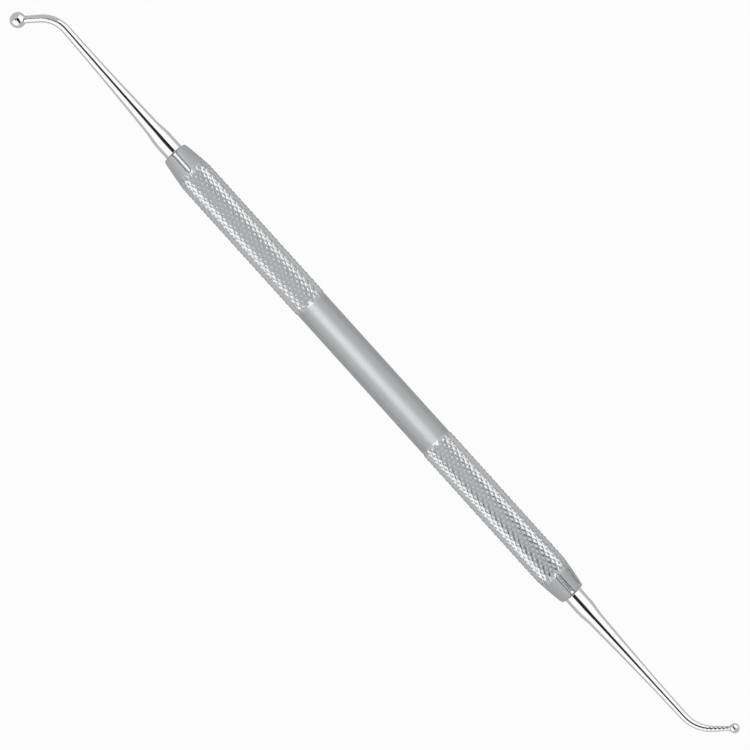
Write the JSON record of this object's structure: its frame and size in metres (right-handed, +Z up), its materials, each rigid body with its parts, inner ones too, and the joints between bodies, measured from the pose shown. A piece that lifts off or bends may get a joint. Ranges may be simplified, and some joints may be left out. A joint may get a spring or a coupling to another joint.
{
  "type": "dental burnisher",
  "caption": "Double-ended steel hand instrument: a knurled handle with fluted tapered ends and a slim bent shank with a ball tip at each end, for smoothing and shaping fillings.",
  "frame": {"origin": "on the surface that the instrument lies on, under the middle of its bounding box", "axes": "+X along the handle from the large ball to the small one, +Z up, away from the surface it lies on"},
  "size_m": [0.1716, 0.012, 0.0062],
  "materials": {
    "satin_steel": "fine satin",
    "polished_steel": "mirror-polished stainless steel"
  },
  "bodies": {
    "root": {"handle": "satin_steel", "large_ball_tip": "polished_steel", "small_ball_tip": "polished_steel"}
  },
  "joints": []
}
